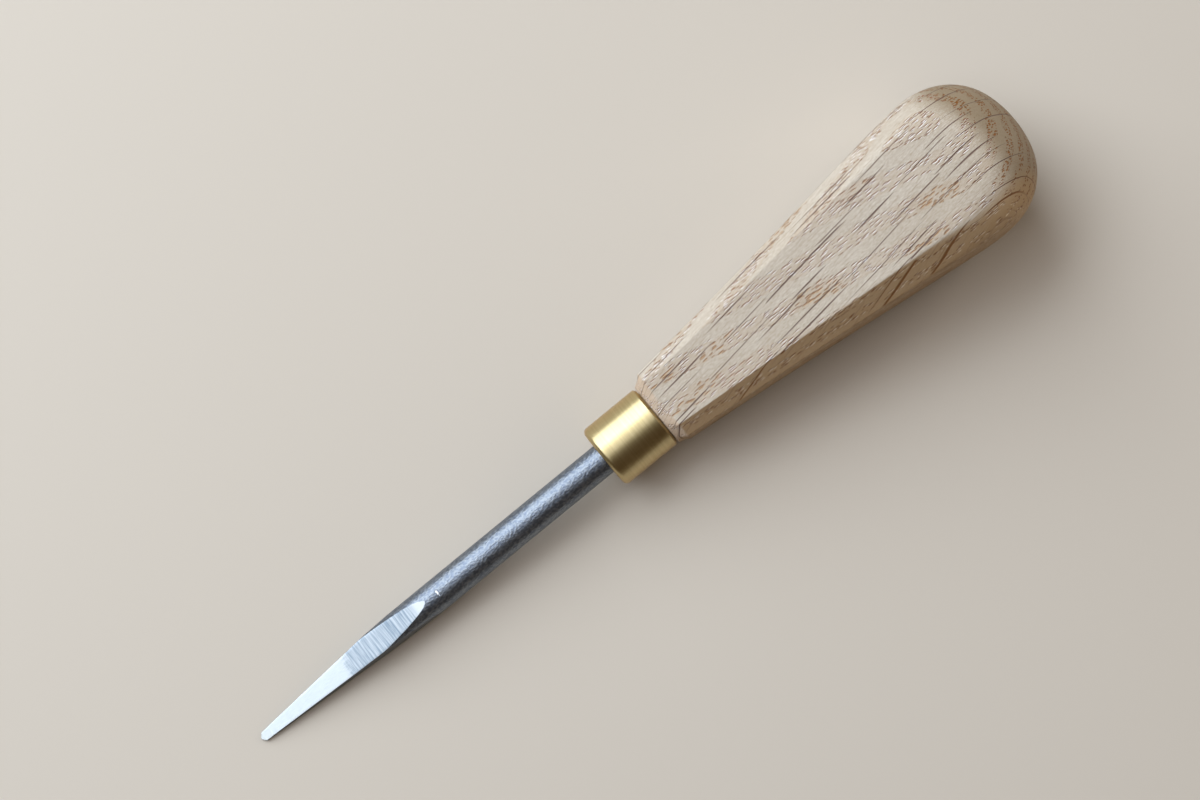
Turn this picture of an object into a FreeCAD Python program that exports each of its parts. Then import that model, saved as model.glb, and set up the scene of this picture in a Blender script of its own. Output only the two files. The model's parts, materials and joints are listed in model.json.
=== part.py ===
"""Lino cutter: a ground round-bar blade, a turned brass ferrule and a faceted oak handle.

Every piece is drawn along its own X axis. On the blade, the ferrule and the adhesive X is the
bar's axis, measured back from the cutting tip; on the handle it is the middle of the grip, which
stands a little to one side of the bar. The finished tool lies at rest on a flat surface, Z = 0:
it touches down on the blade's tip and on the underside of the handle near its butt.
"""

import FreeCAD, Part
import math
import os

import Sketcher
from FreeCAD import Placement, Rotation, Vector

# name, value in millimetres or degrees, and what it measures
DIMENSIONS = (
    ("bar_diameter", 6.0, "round steel bar that the blade is ground from"),
    ("tip_width", 1.7, "blade across its sides at the tip, corners not yet cut off"),
    ("nose_length", 0.65, "tip to the back of its cut-off corners"),
    ("nose_end", 0.2, "blade across at the very tip, between its cut-off corners"),
    ("near_side_runout", 33.9, "tip to where the ground side towards +Y runs out on the bar"),
    ("far_side_runout", 42.3, "tip to where the other ground side runs out on the bar"),
    ("edge_thickness", 0.16, "cutting edge at the very tip"),
    ("bevel_length", 2.4, "tip to the back of the edge bevel"),
    ("bevel_thickness", 0.78, "blade at the back of the edge bevel"),
    ("honed_length", 20.6, "tip to the back of the honed faces"),
    ("honed_thickness", 2.65, "blade at the back of the honed faces"),
    ("face_runout", 39.2, "tip to where the ground faces run out on the bar"),
    ("blade_roll", 6.0, "turn of the blade in the handle, about the bar's axis"),
    ("tang_end", 125.0, "tip to the far end of the tang"),
    ("tang_chamfer", 0.6, "chamfer round the tang's end"),
    ("ferrule_front", 80.5, "tip to the ferrule's front face"),
    ("ferrule_length", 12.3, "ferrule along the bar"),
    ("ferrule_diameter", 12.7, "ferrule outside"),
    ("ferrule_wall", 1.4, "closed front of the ferrule"),
    ("ferrule_hole", 6.1, "hole for the bar in the closed front"),
    ("ferrule_round", 1.0, "rounded front edge of the ferrule"),
    ("ferrule_chamfer", 0.45, "chamfered rear edge of the ferrule"),
    ("shoulder_gap", 0.15, "open joint between the ferrule and the handle's shoulder"),
    ("tenon_diameter", 10.4, "handle inside the ferrule"),
    ("bore_diameter", 6.3, "hole for the tang in the handle"),
    ("bore_depth", 45.0, "tenon's front to the end of the bore's full diameter"),
    ("drill_point", 118.0, "angle of the bore's conical bottom"),
    ("grip_offset", 0.4, "middle of the grip to the bar's axis, sideways"),
    ("shoulder_length", 1.95, "rounded step from the ferrule to the eight flats"),
    ("front_across", 14.4, "handle across its main flats, just behind the shoulder"),
    ("widest_across", 29.8, "handle across its main flats at the widest"),
    ("flat_share", 0.67, "width of a main flat over the size across the flats"),
    ("flare_radius", 1970.0, "hollow of the flats between the shoulder and the swell"),
    ("swell_radius", 30.0, "round from the flare over to the widest part"),
    ("corner_radius", 12.5, "outline from the widest part into the butt"),
    ("butt_radius", 22.4, "outline of the butt's end"),
    ("butt_flat_depth", 0.06, "depth sanded off the middle of the butt"),
    ("easing_radius", 18.4, "ball that the eight ridges are eased to round the butt"),
    ("easing_clearance", 0.6, "that ball's far end past the butt"),
    ("overall_length", 176.8, "tip to butt"),
    ("waste", 4.0, "how far a cutting sketch reaches past the stock"),
)

START, END, CENTRE = 1, 2, 3
ORIGIN, X_AXIS = -1, -1
NO_OFFSET = Placement()
CUTTING_FEATURES = ("Pocket", "Groove", "Hole", "Mirrored", "PolarPattern")

# expressions on the sheet's cells that more than one piece uses
FERRULE_BACK = "(dimensions.ferrule_front + dimensions.ferrule_length)"
TENON_FRONT = "(dimensions.ferrule_front + dimensions.ferrule_wall)"
SHOULDER = f"({FERRULE_BACK} + dimensions.shoulder_gap)"
FLATS_FRONT = f"({SHOULDER} + dimensions.shoulder_length)"
BORE_END = f"({TENON_FRONT} + dimensions.bore_depth)"
DIAGONAL = "((1 + dimensions.flat_share) / sqrt(2))"


# ---------------------------------------------------------------- small helpers

def make_sheet(doc):
    """Write the driving dimensions into a spreadsheet, one aliased row each."""
    sheet = doc.addObject("Spreadsheet::Sheet", "dimensions")
    for row, (alias, value, meaning) in enumerate(DIMENSIONS, start=1):
        sheet.set(f"A{row}", meaning)
        sheet.set(f"B{row}", str(value))
        sheet.setAlias(f"B{row}", alias)
    doc.recompute()
    return sheet


def worth(item, expression):
    """The number that an expression on the sheet's cells comes to."""
    return float(item.evalExpression(expression))


def new_body(doc, label):
    body = doc.addObject("PartDesign::Body", label)
    body.Label = label
    return body


def origin_feature(body, role):
    """One of the body's own origin planes or axes, such as XY_Plane."""
    return next(item for item in body.Origin.OriginFeatures if item.Role == role)


def new_sketch(body, name, role, offset=NO_OFFSET):
    sketch = body.newObject("Sketcher::SketchObject", name)
    sketch.AttachmentSupport = (origin_feature(body, role), [""])
    sketch.MapMode = "FlatFace"
    sketch.AttachmentOffset = offset
    return sketch


def cross_section(body, name, along, sideways="0 mm"):
    """A sketch square to the X axis, at a distance along it."""
    sketch = new_sketch(body, name, "YZ_Plane")
    sketch.setExpression("AttachmentOffset.Base.x", sideways)
    sketch.setExpression("AttachmentOffset.Base.z", f"{along} * 1 mm")
    body.Document.recompute()
    return sketch


def drive(sketch, constraint, expression):
    """Add a constraint whose value follows an expression on the sheet."""
    index = sketch.addConstraint(Sketcher.Constraint(*constraint, worth(sketch, expression)))
    name = f"size{index}"
    sketch.renameConstraint(index, name)
    sketch.setExpression(f"Constraints.{name}", f"({expression}) * 1 mm")


def locate(sketch, geometry, point, along, across):
    """Fix a point by its two distances from the sketch's origin."""
    drive(sketch, ("DistanceX", ORIGIN, START, geometry, point), along)
    drive(sketch, ("DistanceY", ORIGIN, START, geometry, point), across)


def join(sketch, first, first_point, second, second_point):
    sketch.addConstraint(
        Sketcher.Constraint("Coincident", first, first_point, second, second_point)
    )


def add_line(sketch, begin, end):
    segment = Part.LineSegment(Vector(*begin, 0), Vector(*end, 0))
    return sketch.addGeometry(segment, False)


def add_arc(sketch, centre, radius, begin, end):
    """An arc that runs anticlockwise from the direction of begin to that of end."""
    circle = Part.Circle(Vector(*centre, 0), Vector(0, 0, 1), radius)
    first = math.atan2(begin[1] - centre[1], begin[0] - centre[0])
    last = math.atan2(end[1] - centre[1], end[0] - centre[0])
    if last < first:
        last += 2 * math.pi
    return sketch.addGeometry(Part.ArcOfCircle(circle, first, last), False)


def polygon(sketch, corners):
    """A closed outline of straight lines; each corner is a pair of expressions."""
    spots = [(worth(sketch, along), worth(sketch, across)) for along, across in corners]
    sides = [add_line(sketch, spot, spots[i - len(spots) + 1]) for i, spot in enumerate(spots)]
    for i, (along, across) in enumerate(corners):
        join(sketch, sides[i - 1], END, sides[i], START)
        locate(sketch, sides[i], START, along, across)


def circle(sketch, diameter):
    """A circle about the sketch's origin."""
    ring = Part.Circle(Vector(), Vector(0, 0, 1), worth(sketch, diameter) / 2)
    index = sketch.addGeometry(ring, False)
    join(sketch, index, CENTRE, ORIGIN, START)
    drive(sketch, ("Diameter", index), diameter)


def pad(body, name, sketch, length, backwards=False):
    feature = body.newObject("PartDesign::Pad", name)
    feature.Profile = sketch
    feature.Reversed = backwards
    feature.setExpression("Length", f"({length}) * 1 mm")
    body.Document.recompute()
    return feature


def cut_through(body, name, sketch):
    """Cut the sketch's area away on both sides of its plane."""
    feature = body.newObject("PartDesign::Pocket", name)
    feature.Profile = sketch
    feature.Type = "ThroughAll"
    feature.SideType = "Symmetric"
    body.Document.recompute()
    return feature


def mirror(body, name, feature, role):
    """Repeat a cut on the other side of one of the body's planes."""
    copy = body.newObject("PartDesign::Mirrored", name)
    copy.Originals = [feature]
    copy.MirrorPlane = (origin_feature(body, role), [""])
    body.Tip = copy
    body.Document.recompute()
    return copy


def four_times(body, name, feature):
    """Repeat a cut every quarter turn about the X axis."""
    ring = body.newObject("PartDesign::PolarPattern", name)
    ring.Originals = [feature]
    ring.Axis = (origin_feature(body, "X_Axis"), [""])
    ring.Angle = 360
    ring.Occurrences = 4
    body.Tip = ring
    body.Document.recompute()
    return ring


def round_edge(shape, along, diameter):
    """The name of the circular edge of that size at that place along X."""
    for i, edge in enumerate(shape.Edges, start=1):
        middle = edge.BoundBox.Center
        fits = abs(edge.BoundBox.XLength) < 0.01 and abs(middle.x - along) < 0.01
        if fits and abs(edge.BoundBox.YLength - diameter) < 0.01:
            return f"Edge{i}"
    raise ValueError(f"no round edge of {diameter} mm at {along} mm")


def dress(body, kind, name, base, along, diameter, size):
    """A fillet or chamfer on one round edge."""
    edge = round_edge(base.Shape, worth(base, along), worth(base, diameter))
    feature = body.newObject(f"PartDesign::{kind}", name)
    feature.Base = (base, [edge])
    feature.setExpression("Radius" if kind == "Fillet" else "Size", f"{size} * 1 mm")
    body.Document.recompute()
    return feature


# ---------------------------------------------------------------- the blade

def make_blade(doc):
    """A round bar, ground on two faces and two sides to a slim wedge, with its tang."""
    body = new_body(doc, "blade")
    section = cross_section(body, "bar_section", "0")
    circle(section, "dimensions.bar_diameter")
    bar = pad(body, "bar", section, "dimensions.tang_end")
    dress(body, "Chamfer", "tang_chamfer", bar, "dimensions.tang_end",
          "dimensions.bar_diameter", "dimensions.tang_chamfer")
    cut_face(body)
    cut_side(body, "near_side", 0)
    cut_side(body, "far_side", 180)
    return body


def cut_face(body):
    """Grind the upper face in three slopes: edge bevel, honed face and ground face."""
    sketch = new_sketch(body, "face_outline", "XZ_Plane")
    ahead = "-dimensions.waste"
    above = "dimensions.bar_diameter / 2 + dimensions.waste"
    polygon(sketch, [
        (ahead, "dimensions.edge_thickness / 2"),
        ("0", "dimensions.edge_thickness / 2"),
        ("dimensions.bevel_length", "dimensions.bevel_thickness / 2"),
        ("dimensions.honed_length", "dimensions.honed_thickness / 2"),
        ("dimensions.face_runout", "dimensions.bar_diameter / 2"),
        ("dimensions.face_runout", above),
        (ahead, above),
    ])
    mirror(body, "lower_face", cut_through(body, "upper_face", sketch), "XY_Plane")


def cut_side(body, name, turn):
    """Grind one side in a straight taper, with its corner cut off slantwise at the tip.

    turn is 0 degrees for the side towards +Y and 180 for the other, about the X axis.
    """
    tilt = Placement(Vector(), Rotation(Vector(1, 0, 0), turn))
    sketch = new_sketch(body, f"{name}_outline", "XY_Plane", tilt)
    ahead = "-dimensions.waste"
    runout = f"dimensions.{name}_runout"
    half_bar = "dimensions.bar_diameter / 2"
    beyond = "dimensions.bar_diameter / 2 + dimensions.waste"
    slope = f"(dimensions.bar_diameter - dimensions.tip_width) / 2 / {runout}"
    polygon(sketch, [
        (ahead, "dimensions.nose_end / 2"),
        ("0", "dimensions.nose_end / 2"),
        ("dimensions.nose_length", f"dimensions.tip_width / 2 + {slope} * dimensions.nose_length"),
        (runout, half_bar),
        (runout, beyond),
        (ahead, beyond),
    ])
    cut_through(body, name, sketch)


# ---------------------------------------------------------------- the ferrule

def make_ferrule(doc):
    """A turned brass cap: closed front with a hole for the bar, bored for the tenon."""
    body = new_body(doc, "ferrule")
    outside = cross_section(body, "outside_section", "dimensions.ferrule_front")
    circle(outside, "dimensions.ferrule_diameter")
    stock = pad(body, "stock", outside, "dimensions.ferrule_length")
    rounded = dress(body, "Fillet", "front_round", stock, "dimensions.ferrule_front",
                    "dimensions.ferrule_diameter", "dimensions.ferrule_round")
    dress(body, "Chamfer", "rear_chamfer", rounded, FERRULE_BACK,
          "dimensions.ferrule_diameter", "dimensions.ferrule_chamfer")
    socket = cross_section(body, "tenon_section", TENON_FRONT)
    circle(socket, "dimensions.tenon_diameter")
    bore(body, "tenon_socket", socket)
    hole = cross_section(body, "hole_section", "dimensions.ferrule_front")
    circle(hole, "dimensions.ferrule_hole")
    bore(body, "bar_hole", hole)
    return body


def bore(body, name, sketch):
    """Cut from the sketch's plane to the far end of the piece, along +X."""
    feature = body.newObject("PartDesign::Pocket", name)
    feature.Profile = sketch
    feature.Type = "ThroughAll"
    feature.Reversed = True
    body.Document.recompute()
    return feature


# ---------------------------------------------------------------- the handle

def make_handle(doc):
    """Square oak stock sawn to a flare on eight sides, with a tenon and a blind bore."""
    body = new_body(doc, "handle")
    blank = cross_section(body, "blank_section", FLATS_FRONT)
    reach = "dimensions.widest_across / 2 + dimensions.waste"
    polygon(blank, [(f"-({reach})", f"-({reach})"), (reach, f"-({reach})"),
                    (reach, reach), (f"-({reach})", reach)])
    pad(body, "blank", blank, f"dimensions.overall_length - {FLATS_FRONT}")
    main = flare_outline(body, "main_outline", 0, "0.5")
    four_times(body, "main_flats", cut_through(body, "main_flat", main))
    corner = flare_outline(body, "corner_outline", 45, f"0.5 * {DIAGONAL}")
    four_times(body, "corner_flats", cut_through(body, "corner_flat", corner))
    ease_butt(body)
    add_shoulder(body)
    add_tenon(body)
    return body


def flare_outline(body, name, turn, share):
    """What to saw off above one flat: everything over its hollow flare, swell and butt.

    turn is the flat's angle about the X axis, and share turns the size across the main flats
    into this flat's distance from the axis.
    """
    tilt = Placement(Vector(), Rotation(Vector(1, 0, 0), turn))
    sketch = new_sketch(body, name, "XY_Plane", tilt)
    front = worth(sketch, FLATS_FRONT)
    low = worth(sketch, f"dimensions.front_across * {share}")
    high = worth(sketch, f"dimensions.widest_across * {share}")
    flare_r = worth(sketch, "dimensions.flare_radius")
    swell_r = worth(sketch, "dimensions.swell_radius")
    corner_r = worth(sketch, "dimensions.corner_radius")
    butt_r = worth(sketch, "dimensions.butt_radius")
    pole = worth(sketch, "dimensions.overall_length + dimensions.butt_flat_depth")
    past = worth(sketch, "dimensions.overall_length + dimensions.waste")
    over = worth(sketch, "dimensions.widest_across + dimensions.waste")

    butt_c = (pole - butt_r, 0)
    widest = butt_c[0] + math.sqrt((butt_r - corner_r) ** 2 - (high - corner_r) ** 2)
    corner_c = (widest, high - corner_r)
    swell_c = (widest, high - swell_r)
    flare_c = upper_crossing((front, low), flare_r, swell_c, flare_r + swell_r)
    toe = (front, low)
    brow = toward(swell_c, flare_c, swell_r)
    crest = (widest, high)
    meet = toward(butt_c, corner_c, butt_r)

    flare = add_arc(sketch, flare_c, flare_r, toe, brow)
    swell = add_arc(sketch, swell_c, swell_r, crest, brow)
    corner = add_arc(sketch, corner_c, corner_r, meet, crest)
    butt = add_arc(sketch, butt_c, butt_r, (pole, 0), meet)
    spots = [(pole, 0), (past, 0), (past, over), (front, over), toe]
    rest = [add_line(sketch, *pair) for pair in zip(spots, spots[1:])]

    for first, first_end, second, second_end in (
        (flare, END, swell, END), (swell, START, corner, END), (corner, START, butt, END),
    ):
        sketch.addConstraint(
            Sketcher.Constraint("Tangent", first, first_end, second, second_end)
        )
    sketch.addConstraint(Sketcher.Constraint("Vertical", corner, CENTRE, corner, END))
    sketch.addConstraint(Sketcher.Constraint("PointOnObject", butt, CENTRE, X_AXIS))
    sketch.addConstraint(Sketcher.Constraint("PointOnObject", butt, START, X_AXIS))
    join(sketch, butt, START, rest[0], START)
    for before, after in zip(rest, rest[1:]):
        join(sketch, before, END, after, START)
    join(sketch, rest[-1], END, flare, START)
    sketch.addConstraint(Sketcher.Constraint("Horizontal", rest[0]))
    sketch.addConstraint(Sketcher.Constraint("Vertical", rest[1]))
    sketch.addConstraint(Sketcher.Constraint("Horizontal", rest[2]))
    sketch.addConstraint(Sketcher.Constraint("Vertical", rest[3]))
    drive(sketch, ("Radius", flare), "dimensions.flare_radius")
    drive(sketch, ("Radius", swell), "dimensions.swell_radius")
    drive(sketch, ("Radius", corner), "dimensions.corner_radius")
    drive(sketch, ("Radius", butt), "dimensions.butt_radius")
    drive(sketch, ("DistanceX", ORIGIN, START, butt, START),
          "dimensions.overall_length + dimensions.butt_flat_depth")
    drive(sketch, ("DistanceY", ORIGIN, START, corner, END), f"dimensions.widest_across * {share}")
    locate(sketch, flare, START, FLATS_FRONT, f"dimensions.front_across * {share}")
    locate(sketch, rest[2], START, "dimensions.overall_length + dimensions.waste",
           "dimensions.widest_across + dimensions.waste")
    return sketch


def ease_butt(body):
    """Round the eight ridges away where they run over the butt."""
    sketch = new_sketch(body, "easing_outline", "XY_Plane")
    radius = worth(sketch, "dimensions.easing_radius")
    pole = worth(sketch, "dimensions.overall_length + dimensions.easing_clearance")
    over = worth(sketch, "dimensions.widest_across")
    past = worth(sketch, "dimensions.overall_length + dimensions.waste")
    crown = (pole - radius, radius)
    ball = add_arc(sketch, (pole - radius, 0), radius, (pole, 0), crown)
    spots = [crown, (crown[0], over), (past, over), (past, 0), (pole, 0)]
    rest = [add_line(sketch, *pair) for pair in zip(spots, spots[1:])]
    for before, after in zip([ball, *rest], [*rest, ball]):
        join(sketch, before, END, after, START)
    for i, kind in enumerate(("Vertical", "Horizontal", "Vertical", "Horizontal")):
        sketch.addConstraint(Sketcher.Constraint(kind, rest[i]))
    sketch.addConstraint(Sketcher.Constraint("PointOnObject", ball, CENTRE, X_AXIS))
    sketch.addConstraint(Sketcher.Constraint("PointOnObject", ball, START, X_AXIS))
    sketch.addConstraint(Sketcher.Constraint("Vertical", ball, CENTRE, ball, END))
    drive(sketch, ("Radius", ball), "dimensions.easing_radius")
    drive(sketch, ("DistanceX", ORIGIN, START, ball, START),
          "dimensions.overall_length + dimensions.easing_clearance")
    locate(sketch, rest[2], START, "dimensions.overall_length + dimensions.waste",
           "dimensions.widest_across")
    groove = body.newObject("PartDesign::Groove", "eased_butt")
    groove.Profile = sketch
    groove.ReferenceAxis = (sketch, ["H_Axis"])
    groove.Angle = 360
    body.Document.recompute()


def toward(centre, target, distance):
    """The point at a distance from centre, on the way to target and beyond."""
    run, rise = target[0] - centre[0], target[1] - centre[1]
    share = distance / math.hypot(run, rise)
    return (centre[0] + run * share, centre[1] + rise * share)


def upper_crossing(first, first_radius, second, second_radius):
    """The upper of the two points where two circles cross."""
    run, rise = second[0] - first[0], second[1] - first[1]
    gap = math.hypot(run, rise)
    along = (gap ** 2 + first_radius ** 2 - second_radius ** 2) / (2 * gap)
    off = math.sqrt(first_radius ** 2 - along ** 2)
    spots = [
        (first[0] + (run * along - side * rise * off) / gap,
         first[1] + (rise * along + side * run * off) / gap)
        for side in (-1, 1)
    ]
    return max(spots, key=lambda spot: spot[1])


def add_shoulder(body):
    """The hand-eased step from the round end at the ferrule to the eight flats."""
    back = cross_section(body, "shoulder_back", FLATS_FRONT)
    flat = "dimensions.front_across / 2"
    bend = f"{flat} * dimensions.flat_share"
    octagon = [
        (flat, bend), (bend, flat), (f"-({bend})", flat), (f"-({flat})", bend),
        (f"-({flat})", f"-({bend})"), (f"-({bend})", f"-({flat})"),
        (bend, f"-({flat})"), (flat, f"-({bend})"),
    ]
    polygon(back, octagon)
    front = cross_section(body, "shoulder_front", SHOULDER, "-dimensions.grip_offset * 1 mm")
    ring_of_arcs(front, "dimensions.ferrule_diameter / 2", octagon)
    loft = body.newObject("PartDesign::AdditiveLoft", "shoulder")
    loft.Profile = back
    loft.Sections = [front]
    loft.Ruled = True
    body.Document.recompute()


def ring_of_arcs(sketch, radius, octagon):
    """A circle about the origin, split where it faces the octagon's corners."""
    size = worth(sketch, radius)
    lean = "atan(dimensions.flat_share)"
    angle = math.radians(worth(sketch, lean))
    angles = []
    for quarter in range(4):
        angles += [quarter * math.pi / 2 + angle, (quarter + 1) * math.pi / 2 - angle]
    spots = [(size * math.cos(a), size * math.sin(a)) for a in angles]
    arcs = [
        add_arc(sketch, (0, 0), size, spot, spots[i - len(spots) + 1])
        for i, spot in enumerate(spots)
    ]
    near = f"{radius} * sin({lean})"
    for i, arc in enumerate(arcs):
        join(sketch, arcs[i - 1], END, arc, START)
    for arc in arcs[:-1]:
        join(sketch, arc, CENTRE, ORIGIN, START)
    sketch.addConstraint(Sketcher.Constraint("Equal", arcs[0], arcs[-1]))
    drive(sketch, ("Radius", arcs[0]), radius)
    for i, arc in enumerate(arcs):
        sideways = abs(spots[i][0]) < abs(spots[i][1])
        kind, value = ("DistanceX", spots[i][0]) if sideways else ("DistanceY", spots[i][1])
        sign = "" if value > 0 else "-"
        drive(sketch, (kind, ORIGIN, START, arc, START), f"{sign}{near}")


def add_tenon(body):
    """The round tenon in the ferrule, and the drilled bore for the tang."""
    aside = "-dimensions.grip_offset * 1 mm"
    section = cross_section(body, "tenon_section", SHOULDER, aside)
    circle(section, "dimensions.tenon_diameter")
    pad(body, "tenon", section, f"{SHOULDER} - {TENON_FRONT}", backwards=True)
    mouth = cross_section(body, "bore_section", TENON_FRONT, aside)
    circle(mouth, "dimensions.bore_diameter")
    body.Document.recompute()
    hole = body.newObject("PartDesign::Hole", "tang_bore")
    hole.Profile = mouth
    hole.Reversed = True
    hole.ThreadType = "None"
    hole.DepthType = "Dimension"
    hole.DrillPoint = "Angled"
    body.Document.recompute()
    hole.setExpression("Diameter", "dimensions.bore_diameter * 1 mm")
    hole.setExpression("Depth", "dimensions.bore_depth * 1 mm")
    hole.setExpression("DrillPointAngle", "dimensions.drill_point * 1 deg")
    body.Document.recompute()


# ---------------------------------------------------------------- the adhesive

def make_adhesive(doc):
    """The cured sleeve of adhesive between the tang and its bore, with its conical end."""
    body = new_body(doc, "tang_adhesive")
    sketch = new_sketch(body, "sleeve_profile", "XZ_Plane")
    tang = "dimensions.bar_diameter / 2"
    hole = "dimensions.bore_diameter / 2"
    cone = f"{BORE_END} + {hole} / tan(dimensions.drill_point * 1 deg / 2)"
    polygon(sketch, [
        (TENON_FRONT, tang),
        (TENON_FRONT, hole),
        (BORE_END, hole),
        (cone, "0"),
        ("dimensions.tang_end", "0"),
        ("dimensions.tang_end", f"{tang} - dimensions.tang_chamfer"),
        ("dimensions.tang_end - dimensions.tang_chamfer", tang),
    ])
    sleeve = body.newObject("PartDesign::Revolution", "sleeve")
    sleeve.Profile = sketch
    sleeve.ReferenceAxis = (sketch, ["H_Axis"])
    sleeve.Angle = 360
    doc.recompute()
    return body


# ---------------------------------------------------------------- assembly

def rest_tilt(sheet):
    """The angle in degrees between the bar and the surface that the tool lies on.

    The surface touches the lower corner of the edge bevel and the underside of the handle's
    swell, which is an arc, so it is the common tangent of a point and a circle.
    """
    roll = math.radians(worth(sheet, "blade_roll"))
    back = worth(sheet, "bevel_length")
    half_width = worth(
        sheet, "tip_width / 2 + (bar_diameter - tip_width) / 2 * bevel_length / near_side_runout"
    )
    drop = (worth(sheet, "bevel_thickness / 2") * math.cos(roll) + half_width * math.sin(roll))
    swell_r = worth(sheet, "swell_radius")
    inner = worth(sheet, "butt_radius - corner_radius")
    rise = worth(sheet, "widest_across / 2 - corner_radius")
    widest = (worth(sheet, "overall_length + butt_flat_depth - butt_radius")
              + math.sqrt(inner ** 2 - rise ** 2))
    run = widest - back
    fall = worth(sheet, "widest_across / 2 - swell_radius") - drop
    return math.degrees(math.atan2(fall, run) + math.asin(swell_r / math.hypot(run, fall)))


def lay_down(sheet, blade, handle, others):
    """Tilt the pieces to rest and centre the tool's box over the origin."""
    turn = Rotation(Vector(0, 1, 0), -rest_tilt(sheet))
    roll = Placement(Vector(), Rotation(Vector(1, 0, 0), -worth(sheet, "blade_roll")))
    aside = Placement(Vector(0, worth(sheet, "grip_offset"), 0), Rotation())
    local = {blade: roll, handle: aside, **{piece: NO_OFFSET for piece in others}}
    box = FreeCAD.BoundBox()
    for piece, inside in local.items():
        piece.Placement = Placement(Vector(), turn) * inside
        box.add(piece.Shape.optimalBoundingBox(False))
    down = Vector(-box.Center.x, -box.Center.y, -box.ZMin)
    for piece, inside in local.items():
        piece.Placement = Placement(down, turn) * inside


def check_document(doc, bodies):
    """Stop if a feature failed, a cut removed nothing, or a piece isn't one valid solid."""
    for item in doc.Objects:
        if {"Invalid", "Error"} & set(item.State):
            raise RuntimeError(f"{item.Name} failed: {item.State}")
    for body in bodies:
        solids = [item for item in body.Group if item.isDerivedFrom("PartDesign::Feature")]
        for before, after in zip(solids, solids[1:]):
            cuts = after.TypeId.split("::")[1] in CUTTING_FEATURES
            if cuts and after.Shape.Volume > before.Shape.Volume - 0.01:
                raise RuntimeError(f"{after.Name} cut nothing")
        if body.Shape.isNull() or not body.Shape.isValid() or len(body.Shape.Solids) != 1:
            raise RuntimeError(f"{body.Label} isn't one valid solid")


def main():
    doc = FreeCAD.newDocument("lino_cutter")
    sheet = make_sheet(doc)
    blade = make_blade(doc)
    ferrule = make_ferrule(doc)
    handle = make_handle(doc)
    adhesive = make_adhesive(doc)
    lay_down(sheet, blade, handle, (ferrule, adhesive))
    doc.recompute()
    bodies = (blade, ferrule, handle, adhesive)
    check_document(doc, bodies)
    os.makedirs("parts", exist_ok=True)
    for body in bodies:
        body.Shape.exportStep(f"parts/{body.Label}.step")
        box = body.Shape.BoundBox
        print(f"{body.Label}: {body.Shape.Volume:.1f} mm3, X {box.XMin:.2f} to {box.XMax:.2f},"
              f" Y {box.YMin:.2f} to {box.YMax:.2f}, Z {box.ZMin:.2f} to {box.ZMax:.2f}")
    print(f"rest tilt {rest_tilt(sheet):.3f} degrees")


main()
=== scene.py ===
"""The looks of a palm-handled lino cutter: steel blade, brass ferrule and oak handle.

The CAD gives the places. Each piece is built here along the tool's own axis, in millimetres: X
from the tip of the blade to the butt, Y across, Z away from the table. It is then laid down on
the axis that the frame's mounts give.
"""
import json
import math

import bmesh
import bpy
from mathutils import Matrix, Quaternion, Vector

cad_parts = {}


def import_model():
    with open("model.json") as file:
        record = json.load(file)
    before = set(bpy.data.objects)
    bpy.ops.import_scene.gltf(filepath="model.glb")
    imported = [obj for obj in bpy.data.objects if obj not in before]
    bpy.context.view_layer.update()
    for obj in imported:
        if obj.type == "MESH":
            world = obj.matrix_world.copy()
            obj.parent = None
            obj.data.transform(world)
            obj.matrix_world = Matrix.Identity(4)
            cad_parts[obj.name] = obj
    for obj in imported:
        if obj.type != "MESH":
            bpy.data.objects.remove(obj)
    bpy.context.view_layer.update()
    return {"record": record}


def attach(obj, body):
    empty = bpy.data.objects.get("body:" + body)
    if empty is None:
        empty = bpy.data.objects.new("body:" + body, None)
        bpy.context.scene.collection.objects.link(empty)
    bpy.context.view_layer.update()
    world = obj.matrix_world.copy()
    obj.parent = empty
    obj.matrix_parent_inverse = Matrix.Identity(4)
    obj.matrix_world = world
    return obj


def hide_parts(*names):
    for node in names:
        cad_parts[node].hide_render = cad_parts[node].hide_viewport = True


MM = 0.001
TURN = 2 * math.pi

# Blade, along the axis from its tip. Its faces' thickness is given at four places
BAR_RADIUS = 3.0
TIP_WIDTH = 1.7
NOSE_LENGTH = 0.65
NOSE_END = 0.2
SIDE_RUNOUTS = (33.9, 42.3)
BEVEL_END = 2.4
HONED_END = 20.6
FACES_END = 39.2
FACE_THICKNESS = ((0.0, 0.16), (BEVEL_END, 0.78), (HONED_END, 2.65), (FACES_END, 6.0))
BLADE_ROLL = math.radians(-6.0)
TANG_END = 125.0
TANG_CHAMFER = 0.6
BROKEN_EDGE = 0.03

# Ferrule
FERRULE_FRONT = 80.5
FERRULE_BACK = 92.8
FERRULE_RADIUS = 6.35
FERRULE_BORE = 5.2
FERRULE_HOLE = 3.05
FERRULE_WALL = 1.4
FRONT_ROUND = 1.0
BACK_CHAMFER = 0.45

# Handle
SHOULDER = 92.95
FLATS_FRONT = 94.9
OVERALL = 176.8
FRONT_ACROSS = 14.4
WIDEST_ACROSS = 29.8
FLAT_SHARE = 0.67
FLARE_RADIUS = 1970.0
SWELL_RADIUS = 30.0
CORNER_RADIUS = 12.5
BUTT_RADIUS = 22.4
BUTT_POLE = 176.86
EASING_RADIUS = 18.4
EASING_POLE = 177.4
SOFTENED = (136.0, 172.0)
RIDGE_POWER = 300.0
SOFT_POWER = 9.0
GRIP_OFFSET = 0.4
SHOULDER_ROUND = 0.25
SHOULDER_BLEND = 0.2
TENON_RADIUS = 5.2
TENON_FRONT = 81.9
TENON_CHAMFER = 0.3
TANG_BORE = 3.15
BORE_END = 126.9
POINT_DEPTH = 1.9

# The smallest ring, where a piece's surface meets the axis
AXIS_RADIUS = 0.01

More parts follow.
